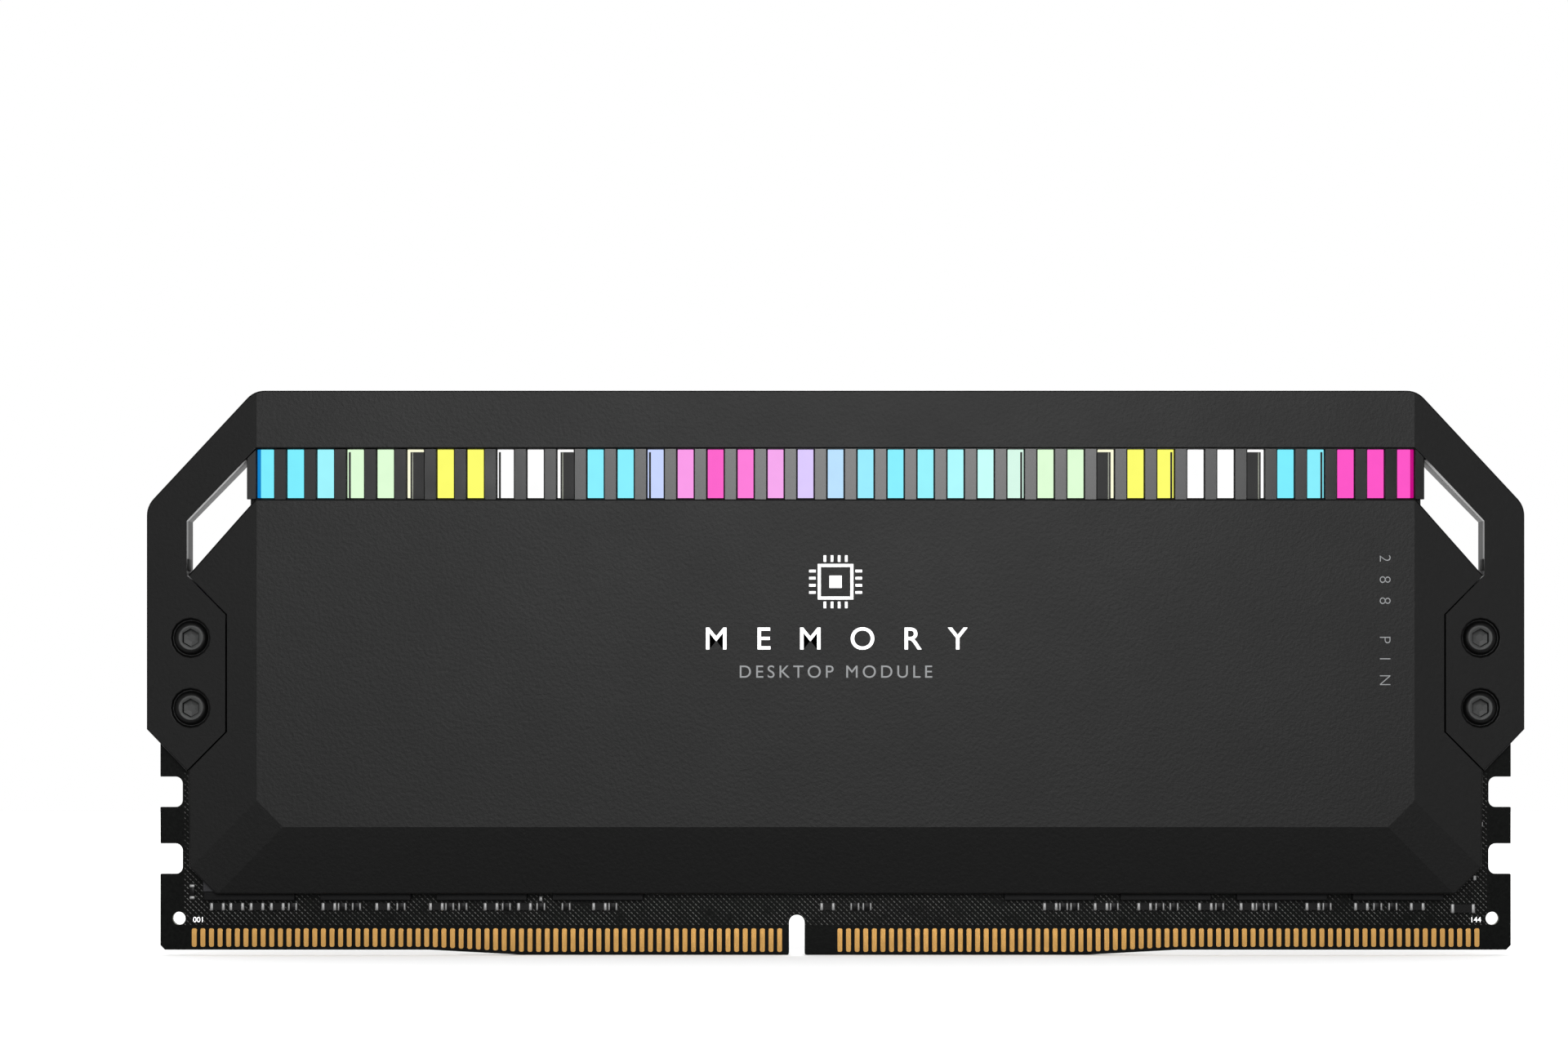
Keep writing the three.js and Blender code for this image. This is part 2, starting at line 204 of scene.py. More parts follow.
def anodised(name, color, roughness, specular):
    """Smooth dark anodised metal with a faint vertical drawing grain."""
    material = new_material(name, color, roughness, specular)
    drawn = noise(material, size=0.12 * MM, stretch=(1, 1, 0.01))
    bump(material, drawn, depth=0.00015 * MM)
    blotches = noise(material, size=3 * MM)
    vary_roughness(material, blotches, roughness, 0.01)
    return material


def lit_plastic(name, color):
    """Milky plastic, lit from behind so strongly that its own glow hides its surface."""
    material = new_material(name, scaled(color, 0.005), roughness=0.4, specular=0.01)
    shader = shader_of(material)
    mottle = noise(material, size=1.6 * MM)
    tint = ramp(material, mottle, [(0.3, scaled(color, 0.97)), (0.7, color)])
    link(material, tint, shader.inputs["Emission Color"])
    shader.inputs["Emission Strength"].default_value = 1.0
    return material


DIAGONAL = 0.7071                    # cosine of 45 degrees
HATCH_PITCH = 0.39 * MM
DASH_HALF_WIDTH = 0.11               # in hatch pitches
DASH_HALF_LENGTH = 0.3
HATCH_LOW = 2.95 * MM                # the hatched copper begins above the contacts
HATCH_END = 64.3 * MM                # and ends before the ends of the board
LAYER = 0.11 * MM                    # one woven layer of the board


def hatch_dashes(material, x, z):
    """Is 1 on rows of short diagonal dashes."""
    halves = (("ADD", DASH_HALF_WIDTH), ("SUBTRACT", DASH_HALF_LENGTH))
    bands = []
    for operation, half in halves:
        slanted = math_node(material, operation, x, z)
        pitches = math_node(material, "MULTIPLY", slanted, DIAGONAL / HATCH_PITCH)
        distance = math_node(material, "PINGPONG", pitches, 0.5)
        bands.append(math_node(material, "LESS_THAN", distance, half))
    return math_node(material, "MULTIPLY", *bands)


def hatch_zone(material, x, z):
    """Is 1 on the part of the board that has the hatched copper."""
    above = math_node(material, "GREATER_THAN", z, HATCH_LOW)
    inside = math_node(material, "LESS_THAN", math_node(material, "ABSOLUTE", x), HATCH_END)
    return math_node(material, "MULTIPLY", above, inside)


def cut_edge(material):
    """Is 1 on the board's cut edge, where the surface doesn't look along Y."""
    nodes = material.node_tree.nodes
    normal = nodes.new("ShaderNodeSeparateXYZ")
    link(material, nodes.new("ShaderNodeNewGeometry").outputs["Normal"], normal.inputs[0])
    facing = math_node(material, "ABSOLUTE", normal.outputs["Y"])
    return math_node(material, "LESS_THAN", facing, 0.5)


def woven_core(material, y):
    """Colour of the cut edge, with its layers."""
    layers = math_node(material, "PINGPONG", y, LAYER)
    weave = math_node(material, "MULTIPLY", layers, 1 / LAYER)
    return ramp(material, weave, [(0.2, (0.02, 0.022, 0.014)), (0.8, (0.05, 0.055, 0.035))])


def solder_mask():
    """Black board: hatched copper shows through the mask here and there."""
    material = new_material("board_mask", (0.001, 0.001, 0.001), roughness=0.2, specular=0.022)
    split = material.node_tree.nodes.new("ShaderNodeSeparateXYZ")
    link(material, place(material), split.inputs[0])
    x, y, z = (split.outputs[axis] for axis in "XYZ")
    dashes = hatch_dashes(material, x, z)
    hatched = math_node(material, "MULTIPLY", dashes, hatch_zone(material, x, z))
    uneven = noise(material, size=1.6 * MM, detail=3.0, rough=0.7)
    strength = ramp(material, uneven, [(0.34, 0.05), (0.64, 1.0)])
    shown = math_node(material, "MULTIPLY", hatched, strength)
    patches = noise(material, size=0.25 * MM)
    tones = [(0.3, (0.0008, 0.0009, 0.0008)), (0.7, (0.0018, 0.002, 0.0018))]
    face = mix_colors(material, shown, ramp(material, patches, tones), (0.052, 0.052, 0.05))
    core = woven_core(material, y)
    set_color(material, mix_colors(material, cut_edge(material), face, core))
    fine = noise(material, size=0.2 * MM)
    bump(material, math_node(material, "MULTIPLY_ADD", shown, 2.0, fine), depth=0.006 * MM)
    return material


def gold():
    """Hard gold plating with slight probe scuffs."""
    material = new_material("contact_gold", (0.335, 0.186, 0.058), roughness=0.13, metallic=1.0)
    tone = noise(material, size=0.9 * MM, detail=3.0, rough=0.6)
    tints = [(0.3, (0.35, 0.195, 0.06)), (0.7, (0.385, 0.215, 0.067))]
    set_color(material, ramp(material, tone, tints))
    scuffs = noise(material, size=0.1 * MM, detail=3.0, rough=0.6, stretch=(1, 1, 0.12))
    set_roughness(material, ramp(material, scuffs, [(0.3, 0.11), (0.75, 0.16)]))
    bump(material, scuffs, depth=0.001 * MM)
    return material


def moulded(name, color, roughness, specular, grain_size=0.12 * MM):
    """Moulded epoxy or plastic with a fine matt grain."""
    material = new_material(name, color, roughness, specular)
    grain = noise(material, size=grain_size, detail=3.0, rough=0.6)
    bump(material, grain, depth=0.006 * MM)
    tone = noise(material, size=2 * MM)
    vary_color(material, tone, color, amount=0.15, reach=0.2)
    return material


def tin():
    """Dull solder on the ends of the small parts."""
    material = new_material("tin_ends", (0.11, 0.11, 0.11), 0.5, specular=0.2, metallic=0.8)
    grain = noise(material, size=0.08 * MM)
    bump(material, grain, depth=0.004 * MM)
    return material


def printed(name, color):
    """Matt screen-printed ink."""
    material = new_material(name, color, roughness=0.6, specular=0.3)
    grain = noise(material, size=0.09 * MM)
    bump(material, grain, depth=0.003 * MM)
    return material


SHELL = powder_coat("black_powder_coat", (0.0008, 0.00081, 0.00078), roughness=0.42, specular=0.062)
# A brighter, glossier copy of the shell coat for the front window walls: painted sheen.
WINDOW_WALL_SHEEN = powder_coat("window_wall_painted_sheen", (0.003, 0.003, 0.003), roughness=0.3, specular=0.2)
FIN = anodised("dark_fins", (0.0012, 0.0013, 0.0013), roughness=0.12, specular=0.11)
POST = moulded("strip_posts", (0.0055, 0.0055, 0.0056), roughness=0.45, specular=0.055)
# Near black for the ribs' carrier and the windows' corner boxes: painted shade of gaps and
# recesses.
CAVITY_SHADE = moulded("painted_cavity_shade", (0.003, 0.003, 0.003), roughness=0.5, specular=0.06)
SCREW_BLACK = anodised("screw_black_oxide", (0.0015, 0.0015, 0.0015), roughness=0.35, specular=0.06)
# Lighter grey for the screws' flat faces: a painted reflection.
SCREW_FACE_REFLECTION = anodised("screw_face_painted_reflection", (0.014, 0.0145, 0.0143), roughness=0.45, specular=0.1)
MASK = solder_mask()
GOLD = gold()
EPOXY = moulded("chip_epoxy", (0.0013, 0.0013, 0.0014), roughness=0.35, specular=0.025)
TIN = tin()
PART_BODY = moulded("part_body", (0.0015, 0.0015, 0.0015), roughness=0.35, specular=0.03)
PAD = moulded("thermal_pad_silicone", (0.011, 0.011, 0.012), roughness=0.8, specular=0.1,
              grain_size=0.3 * MM)
FERRITE = moulded("ferrite", (0.06, 0.06, 0.065), roughness=0.6, specular=0.3)
CREAM = moulded("connector_nylon", (0.72, 0.69, 0.6), roughness=0.45, specular=0.4)
LENS = moulded("led_lens", (0.85, 0.84, 0.7), roughness=0.25, specular=0.5)
AMBER = moulded("ribbon_film", (0.23, 0.09, 0.02), roughness=0.3, specular=0.5)
# Pale grey for the slits in the posts: painted light, the dim glow that shows through them.
SLIT_LIGHT = moulded("painted_slit_light", (0.1, 0.105, 0.085), roughness=0.5, specular=0.2)
WHITE_INK = printed("white_ink", (0.8, 0.8, 0.8))
GREY_INK = printed("grey_ink", (0.1, 0.103, 0.105))


# ---- meshes ----
SHARP_ANGLE = 50                     # degrees between the faces of a sharp edge
FLAT_WIDTH = 0.32 * MM               # faces wider than this are shaded flat
MERGE_DISTANCE = 0.0005 * MM
MERGE_ANGLE = 0.4                    # degrees between triangles that belong to one face


def finish_piece(piece, slot_name, *nodes):
    """Makes a new piece ride with the object and stand for its CAD nodes."""
    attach(piece, "root")
    if nodes:
        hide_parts(*nodes)


def is_flat(face):
    """A face too wide to be a step of a rounded edge or bore; it is shaded flat."""
    return face.calc_area() > FLAT_WIDTH / 2 * face.calc_perimeter()


def is_sharp(edge):
    return edge.calc_face_angle(0) > math.radians(SHARP_ANGLE)


def shade(builder, angle):
    """Smooth shading for rounded parts, kept sharp where faces meet at angle degrees or more."""
    for face in builder.faces:
        face.smooth = not is_flat(face)
    for edge in builder.edges:
        closed = len(edge.link_faces) == 2
        edge.smooth = closed and edge.calc_face_angle(0) < math.radians(angle)


def new_piece(name, builder, materials, angle=SHARP_ANGLE):
    """An object from a bmesh."""
    shade(builder, angle)
    mesh = bpy.data.meshes.new(name)
    builder.to_mesh(mesh)
    builder.free()
    for material in materials:
        mesh.materials.append(material)
    piece = bpy.data.objects.new(name, mesh)
    bpy.context.scene.collection.objects.link(piece)
    return piece


def cad_copy(node):
    """The CAD node's mesh, with its triangles merged back into flat faces."""
    builder = bmesh.new()
    builder.from_mesh(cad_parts[node].data)
    bmesh.ops.remove_doubles(builder, verts=builder.verts, dist=MERGE_DISTANCE)
    bmesh.ops.dissolve_limit(builder, angle_limit=math.radians(MERGE_ANGLE), verts=builder.verts,
                             edges=builder.edges)
    return builder


def round_edges(builder, width, segments, chosen):
    """Rounds the edges that chosen accepts."""
    edges = [e for e in builder.edges if len(e.link_faces) == 2 and chosen(e)]
    bmesh.ops.bevel(builder, geom=edges, offset=width, segments=segments, profile=0.5,
                    affect="EDGES", clamp_overlap=False, miter_outer="SHARP")


def refined(node, material, width, segments, *joints):
    """A CAD node's shape with rounded edges; each of joints is a width and a choice of edges."""
    builder = cad_copy(node)
    for joint_width, chosen in joints:
        round_edges(builder, joint_width, segments, chosen)
    round_edges(builder, width, segments, is_sharp)
    return new_piece(node + "_fine", builder, [material])


def box_mesh(builder, lows, highs, rounding=0.0, material_index=0):
    """Adds a box to a bmesh; rounding is the width of its rounded edges."""
    middle = [(a + b) / 2 for a, b in zip(lows, highs)]
    size = [b - a for a, b in zip(lows, highs)]
    matrix = Matrix.Translation(middle) @ Matrix.Diagonal((*size, 1))
    made = bmesh.ops.create_cube(builder, size=1, matrix=matrix)
    faces = {f for v in made["verts"] for f in v.link_faces}
    if rounding:
        edges = list({e for v in made["verts"] for e in v.link_edges})
        rounded = bmesh.ops.bevel(builder, geom=edges, offset=rounding, segments=2, profile=0.5,
                                  affect="EDGES", clamp_overlap=True)
        faces = {f for f in faces if f.is_valid}
        faces |= {f for v in rounded["verts"] for f in v.link_faces}
    for face in faces:
        face.material_index = material_index


# ---- shell ----
SHELL_ROUNDING = 0.13 * MM
SHELL_SEGMENTS = 3
CRISP_ROUNDING = 0.03 * MM
JOINT_OUTER = 63.9 * MM              # the joint between spreader and frame, along X
JOINT_LOW = 18 * MM
BORE_REACH = 2.2 * MM                # edges this near to a screw's axis belong to its bore
WINDOW_INNER = 57 * MM               # the window, along X and Z
WINDOW_OUTER = 64 * MM
WINDOW_LOW = 37.6 * MM
WINDOW_HIGH = 50 * MM


def crisp_edges(inner, top):
    """Chooses the joint's sharp edges from inner along X and up to top, but for the bores."""
    def chosen(edge):
        middle = (edge.verts[0].co + edge.verts[1].co) / 2
        x, z = abs(middle.x), middle.z
        near = inner < x < JOINT_OUTER and JOINT_LOW < z < top
        bore = min(math.hypot(x - axis.x, z - axis.z) for axis in SCREW_AXES)
        return near and bore > BORE_REACH and is_sharp(edge)

    return chosen


# The frame's crisp edges go on around the window.
CRISP = {
    "frame": crisp_edges(57.1 * MM, 49.8 * MM),
    "spreader": crisp_edges(59.7 * MM, WINDOW_LOW),
}


def is_window_wall(face):
    x, z = abs(face.center.x), face.center.z
    inside = WINDOW_INNER < x < WINDOW_OUTER and WINDOW_LOW < z < WINDOW_HIGH
    return inside and abs(face.normal.y) < 0.3


def sheen_window_walls(piece):
    """Gives the walls of the windows a brighter, glossier copy of the shell coat: painted sheen
    that shows them lighter.
    """
    piece.data.materials.append(WINDOW_WALL_SHEEN)
    for polygon in filter(is_window_wall, piece.data.polygons):
        polygon.material_index = 1


def make_shell():
    for face, _ in FACES:
        for part in ("frame", "spreader"):
            node = f"{face}_{part}"
            crisp = (CRISP_ROUNDING, CRISP[part])
            piece = refined(node, SHELL, SHELL_ROUNDING, SHELL_SEGMENTS, crisp)
            # Only the front frame's window walls get the painted sheen.
            if node == "front_frame":
                sheen_window_walls(piece)
            finish_piece(piece, "shell", node)


# Spans of a black box of painted shade between the spreaders' walls in a window's corner; the first
# is from the middle outwards.
CORNER_SHADE_X = (63.7 * MM, 63.95 * MM)
CORNER_SHADE_Y = (-1.9 * MM, 0.3 * MM)
CORNER_SHADE_Z = (37.9 * MM, 39.1 * MM)
CORNER_SHADE_ROUNDING = 0.05 * MM


def make_window_corner_shades():
    """A small black box in the lower outer corner of each window: painted shade where that corner
    shows dark.
    """
    builder = bmesh.new()
    for _, side in SIDES:
        left, right = sorted(side * x for x in CORNER_SHADE_X)
        box_mesh(builder, (left, CORNER_SHADE_Y[0], CORNER_SHADE_Z[0]), (right, CORNER_SHADE_Y[1], CORNER_SHADE_Z[1]),
                 CORNER_SHADE_ROUNDING)
    piece = new_piece("window_corner_shades", builder, [CAVITY_SHADE])
    finish_piece(piece, "shell")


# ---- light strip ----
# Colours of the light as a screen shows them, from 0 to 255.
CYAN = (124, 238, 255)
ICE = (158, 245, 254)
MINT = (224, 254, 215)
CREAM_LIGHT = (255, 255, 222)
LEMON = (254, 254, 110)
PURE = (255, 255, 255)
LILAC = (200, 214, 254)
ORCHID = (251, 156, 234)
MAGENTA = (254, 100, 205)
ROSE = (254, 125, 218)
MAUVE = (247, 169, 239)
PERIWINKLE = (221, 203, 254)
SKY = (188, 226, 255)
AQUA = (154, 237, 255)
TURQUOISE = (136, 240, 255)
LAGOON = (152, 244, 254)
FOAM = (175, 251, 255)
PALE = (199, 255, 250)
MIST = (216, 249, 233)
HOT_PINK = (254, 85, 200)
# Dimmer glows for the end ribs' outer strips: painted shade.
BLUE_PAINTED_SHADE = (12, 132, 206)
PINK_PAINTED_SHADE = (196, 4, 130)

# The lit ribs of the front face from left to right.
RIB_COLOURS = (
    CYAN, CYAN, ICE, MINT, MINT, CREAM_LIGHT, LEMON, LEMON, PURE, PURE, PURE, TURQUOISE, TURQUOISE,
    LILAC, ORCHID, MAGENTA, ROSE, MAUVE, PERIWINKLE, SKY, AQUA, TURQUOISE, LAGOON, FOAM, PALE, MIST,
    MINT, MINT, CREAM_LIGHT, LEMON, LEMON, PURE, PURE, PURE, CYAN, TURQUOISE, HOT_PINK, HOT_PINK,
    HOT_PINK,
)
LAST_RIB = len(RIB_COLOURS) - 1
END_COLOURS = {0: BLUE_PAINTED_SHADE, LAST_RIB: PINK_PAINTED_SHADE}
END_SHADE = 0.34 * MM                # width of the end ribs' outer strip, which gets less light
RIB_PITCH = 2.95 * MM
RIB_WIDTH = 1.53 * MM
RIB_DEPTH = 2.4 * MM                 # mid-plane to the back of a rib
RIB_GAP = 0.03 * MM                  # above and below a rib
RIB_ROUNDING = 0.01 * MM
SHADE_ROUNDING = 0.03 * MM
CARRIER_DEPTH = 2.5 * MM             # mid-plane to the face of the ribs' carrier
CARRIER_ROUNDING = 0.2 * MM
STRIP_LOW = 45.03 * MM
STRIP_HIGH = 49.82 * MM


def display(colour):
    """The linear value that shows as this colour on a screen."""
    levels = (level / 255 for level in colour)
    return tuple(l / 12.92 if l < 0.04045 else ((l + 0.055) / 1.055) ** 2.4 for l in levels)


def rib_x(index):
    return (index - LAST_RIB / 2) * RIB_PITCH


def add_rib(builder, index, side, colours):
    """One lit rib; the ribs at both ends have a darker strip of painted shade along their outer
    edge.
    """
    x = rib_x(index) * -side
    near, far = sorted((side * RIB_DEPTH, side * RIB_FACE))
    z_low, z_high = STRIP_LOW + RIB_GAP, STRIP_HIGH - RIB_GAP
    left, right = x - RIB_WIDTH / 2, x + RIB_WIDTH / 2
    if index in END_COLOURS:
        shade_left = left if x < 0 else right - END_SHADE
        shade_right = shade_left + END_SHADE
        box_mesh(builder, (shade_left, near, z_low), (shade_right, far, z_high), SHADE_ROUNDING,
                 colours.index(END_COLOURS[index]))
        left, right = (shade_right, right) if x < 0 else (left, shade_left)
    box_mesh(builder, (left, near, z_low), (right, far, z_high), RIB_ROUNDING,
             colours.index(RIB_COLOURS[index]))


def make_ribs():
    """Every lit rib has a material of its own colour; ribs of one colour share it."""
    colours = list(dict.fromkeys((*RIB_COLOURS, BLUE_PAINTED_SHADE, PINK_PAINTED_SHADE)))
    glows = [lit_plastic(f"glow_{number}", display(c)) for number, c in enumerate(colours)]
    builder = bmesh.new()
    lows, highs = low("light_diffuser"), high("light_diffuser")
    # The carrier is black: painted shade in the gaps between ribs, fins and rails.
    box_mesh(builder, (lows.x, -CARRIER_DEPTH, lows.z), (highs.x, CARRIER_DEPTH, highs.z),
             CARRIER_ROUNDING, material_index=len(glows))
    for _, side in FACES:
        for index in range(len(RIB_COLOURS)):
            add_rib(builder, index, side, colours)
    piece = new_piece("light_diffuser_fine", builder, [*glows, CAVITY_SHADE])
    finish_piece(piece, "diffuser", "light_diffuser")


POSTS = (5, 10)                      # ribs that are mostly covered by a post behind the fins
POST_INNER = 0.86 * MM               # rib's middle to the post's edge towards the strip's middle
POST_STRIP = 0.28 * MM               # width of the lit strip that the post leaves free
SLIT_INSET = 0.5 * MM                # a slit in the post, painted pale as the dim light through it, from the rib's outer edge
SLIT_HALF = 0.05 * MM
LINES = (3, 8, 13)                   # ribs with a thin dark line near their outer edge
LINE_INSET = 0.22 * MM
LINE_HALF = 0.1 * MM
UPRIGHT_BACK = 0.3 * MM              # how far an upright reaches behind the ribs' faces
UPRIGHT_FOOT = 0.1 * MM              # and below the strip
UPRIGHT_ROUNDING = 0.02 * MM


def mirrored_ribs(indices):
    """The middle of each rib and of its mirror image, and which way is outwards along X."""
    for index in indices:
        yield rib_x(index), -1
        yield rib_x(LAST_RIB - index), 1


def add_upright(builder, side, edges, material_index=0, top=0.27 * MM, proud=0.1 * MM):
    """A thin upright, proud of the ribs, that leaves the top of the strip free."""
    near, far = sorted((side * (RIB_FACE - UPRIGHT_BACK), side * (RIB_FACE + proud)))
    lows = (min(edges), near, STRIP_LOW - UPRIGHT_FOOT)
    highs = (max(edges), far, STRIP_HIGH - top)
    box_mesh(builder, lows, highs, UPRIGHT_ROUNDING, material_index)


def make_posts():
    """Dark posts that cover some ribs but for a strip along the top and the outer side."""
    builder = bmesh.new()
    half = RIB_WIDTH / 2
    for _, side in FACES:
        for x, way in mirrored_ribs(POSTS):
            add_upright(builder, side, (x - way * POST_INNER, x + way * (half - POST_STRIP)))
            # A pale upright in each post: the painted light of a slit.
            slit = x + way * (half - SLIT_INSET)
            add_upright(builder, side, (slit - SLIT_HALF, slit + SLIT_HALF), material_index=1,
                        top=0.3 * MM, proud=0.12 * MM)
        for x, way in mirrored_ribs(LINES):
            line = x + way * (half - LINE_INSET)
            add_upright(builder, side, (line - LINE_HALF, line + LINE_HALF))
    piece = new_piece("light_strip_posts", builder, [POST, SLIT_LIGHT])
    finish_piece(piece, "grille")


FIN_WIDTH = 1.2 * MM
FIN_BACK = 2.6 * MM                  # mid-plane to the back of the fins and rails
FIN_ROUNDING = 0.06 * MM
FIN_FOOT = 0.3 * MM                  # how far the fins reach down into the lower rail
FIN_HEAD = 0.1 * MM                  # and up into the upper one
RAIL_RECESS = 0.2 * MM               # the lower rail ends this much below the spreader's top
RAIL_ROUNDING = 0.05 * MM


def make_grille(face, side):
    """Rounded fins between two rails; the lower rail ends where the spreader's sides slope."""
    node = f"{face}_grille"
    rail_low, rail_high = low("front_grille"), high("front_grille")
    near, far = sorted((side * FIN_BACK, side * GRILLE_FACE))
    end = rail_high.x
    builder = bmesh.new()
    box_mesh(builder, (-CREASE_X, near, rail_low.z), (CREASE_X, far, PANEL_TOP - RAIL_RECESS),
             RAIL_ROUNDING)
    box_mesh(builder, (-end, near, STRIP_HIGH), (end, far, rail_high.z), RAIL_ROUNDING)
    for index in range(len(RIB_COLOURS) + 1):
        x = rib_x(index - 0.5)
        left, right = max(x - FIN_WIDTH / 2, -end), min(x + FIN_WIDTH / 2, end)
        z_low = PANEL_TOP - (FIN_FOOT if abs(x) < CREASE_X else 0)
        box_mesh(builder, (left, near, z_low), (right, far, STRIP_HIGH + FIN_HEAD), FIN_ROUNDING)
    piece = new_piece(node + "_fine", builder, [FIN])
    finish_piece(piece, "grille", node)


def make_grilles():
    for face, side in FACES:
        make_grille(face, side)


# ---- board ----
CONTACT_PITCH = 0.85 * MM
CONTACT_HALF = 0.2825 * MM           # half the width of a contact
CONTACT_HEAD = 2.63 * MM             # its upper end
CONTACT_THICKNESS = 0.04 * MM
CONTACT_TAPER = 0.12 * MM            # cut corners at the foot
CONTACT_SHOULDER = 0.16 * MM         # radius of the round upper corners
CONTACT_SLOPE = 0.06 * MM            # the flat face is this much narrower on each side
CONTACT_SHORTER = 0.985              # and this part of the whole contact's length
SHOULDER_STEPS = 4
BOARD_ROUNDING = 0.05 * MM


def make_board():
    piece = refined("circuit_board", MASK, BOARD_ROUNDING, segments=1)
    finish_piece(piece, "board", "circuit_board")


def contact_foot(node, x):
    """Lowest point of the CAD comb's tooth at x."""
    reach = CONTACT_HALF * 1.2
    return min(v.co.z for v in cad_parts[node].data.vertices if abs(v.co.x - x) < reach)


def contact_outline(foot):
    """Points along X and Z around a contact: a tapered foot below and round shoulders above."""
    half, taper, radius = CONTACT_HALF, CONTACT_TAPER, CONTACT_SHOULDER
    points = [(-half + taper, foot), (half - taper, foot), (half, foot + taper)]
    for corner_x, quarter in ((half - radius, 0), (radius - half, 1)):
        for step in range(SHOULDER_STEPS + 1):
            angle = math.pi / 2 * (quarter + step / SHOULDER_STEPS)
            points.append((corner_x + radius * math.cos(angle),
                           CONTACT_HEAD - radius + radius * math.sin(angle)))
    points.append((-half, foot + taper))
    return points


def add_contact(builder, x, foot, side):
    """One contact with a raised flat face."""
    outline = contact_outline(foot)
    middle = (foot + CONTACT_HEAD) / 2
    narrow = 1 - CONTACT_SLOPE / CONTACT_HALF
    base_y = side * BOARD_FACE
    face_y = side * (BOARD_FACE + CONTACT_THICKNESS)
    base = [builder.verts.new((x + u, base_y, v)) for u, v in outline]
    top = [builder.verts.new((x + u * narrow, face_y, middle + (v - middle) * CONTACT_SHORTER))
           for u, v in outline]
    if side > 0:
        base.reverse()
        top.reverse()
    builder.faces.new(top)
    for a, b, top_a, top_b in zip(base, base[1:] + base[:1], top, top[1:] + top[:1]):
        builder.faces.new((a, b, top_b, top_a))
    builder.faces.new(base[::-1])


def make_contacts():
    for face, side in FACES:
        for name, _ in SIDES:
            node = f"{face}_contacts_{name}"
            first, last = low(node).x + CONTACT_HALF, high(node).x - CONTACT_HALF
            builder = bmesh.new()
            for number in range(round((last - first) / CONTACT_PITCH) + 1):
                x = first + number * CONTACT_PITCH
                add_contact(builder, x, contact_foot(node, x), side)
            piece = new_piece(node + "_fine", builder, [GOLD], angle=20)
            finish_piece(piece, "gold", node)


# Centres of the small parts above the contacts, in millimetres along the card.
LONG_PARTS = (
    -61.0, -59.1, -57.1, -55.1, -50.0, -44.7, -39.4, -34.0, -30.7, -23.3, -0.8, 21.2, 26.2, 30.5,
    36.5, 40.6, 47.1, 51.9, 57.4,
)
SHORT_PARTS = (
    -53.6, -48.7, -47.3, -42.9, -38.1, -36.8, -32.5, -29.1, -26.6, -22.0, 1.9, 3.1, 22.5, 23.6,
    27.5, 32.0, 33.4, 37.9, 41.9, 43.1, 48.5, 53.5, 55.0,
)
PART_Z = 4.78
SOLDER_POINTS = ((63.75, 12.9), (63.1, 7.6), (-29.1, 5.55))   # along and above the card edge

# Length, width, height and length of a tinned end of each kind of part, in millimetres.
LONG = (1.5, 0.8, 0.45, 0.36)
SHORT = (0.95, 0.8, 0.35, 0.24)
LARGE = (2.4, 0.95, 0.6, 0.38)
NARROW = (1.5, 0.55, 0.45, 0.36)
BODY_DROP = 0.02                     # a body is this much lower than its ends
BODY_ROUNDING = 0.03
END_ROUNDING = 0.1
SOLDER_HALVES = (0.16, 0.25)
SOLDER_HEIGHT = 0.15
SOLDER_ROUNDING = 0.06


def add_block(builder, x, z, halves, height, rounding, material_index):
    """A block on the front of the board, all in millimetres and centred on x and z."""
    lows = ((x - halves[0]) * MM, -BOARD_FACE - height * MM, (z - halves[1]) * MM)
    highs = ((x + halves[0]) * MM, -BOARD_FACE, (z + halves[1]) * MM)
    box_mesh(builder, lows, highs, rounding * MM, material_index)


def add_small_part(builder, x, z, size, upright=False):
    """A dark body with a tinned cap on each end."""
    length, width, height, end = size
    body = (length / 2 - end * 0.6, width * 0.46)
    cap = (end / 2, width / 2)
    shift = (length - end) / 2
    order = -1 if upright else 1     # -1 swaps along and across
    step_x, step_z = (shift, 0)[::order]
    add_block(builder, x, z, body[::order], height - BODY_DROP, BODY_ROUNDING, 0)
    for way in (-1, 1):
        add_block(builder, x + way * step_x, z + way * step_z, cap[::order], height,
                  END_ROUNDING, 1)


def make_small_parts():
    builder = bmesh.new()
    for x in LONG_PARTS:
        add_small_part(builder, x, PART_Z, LONG)
    for x in SHORT_PARTS:
        add_small_part(builder, x, PART_Z, SHORT)
    add_small_part(builder, 61.9, 4.6, LARGE)
    add_small_part(builder, -63.5, 6.25, NARROW, upright=True)
    for x, z in SOLDER_POINTS:
        add_block(builder, x, z, SOLDER_HALVES, SOLDER_HEIGHT, SOLDER_ROUNDING, 1)
    piece = new_piece("small_parts", builder, [PART_BODY, TIN])
    finish_piece(piece, "chip")


# ---- screws ----
SCREW_STEPS = 48                     # points around a screw
SCREW_SEAT = 2.3 * MM                # mid-plane to the seat of the head
SOCKET_APOTHEM = 0.76 * MM
SOCKET_FLOOR = -0.4 * MM             # heights are measured from the seat
SOCKET_TOP = 0.5 * MM
HEAD_TOP = 0.55 * MM
SOCKET_CHAMFER = 0.05 * MM
SOCKET_DIP = 0.05 * MM               # the floor is this much deeper in its middle
SOCKET_INNER = 0.45                  # size of that middle, as a part of the hexagon

# Radius and height in millimetres, from the rim of the head's face to the end of the shank.
SCREW_PROFILE = (
    (1.17, 0.55), (1.27, 0.54), (1.42, 0.47), (1.55, 0.36), (1.65, 0.22), (1.7, 0.05), (1.7, 0.0),
    (0.95, 0.0), (0.95, -1.25), (0.8, -1.4),
)
REFLECTING_BANDS = (0, 3)                  # the socket's floor and the head's face, painted lighter as a reflection


def hexagon(angle):
    """Radius of the hexagon socket in the direction of angle."""
    local = (angle + math.pi / 6) % (math.pi / 3) - math.pi / 6
    return SOCKET_APOTHEM / math.cos(local)


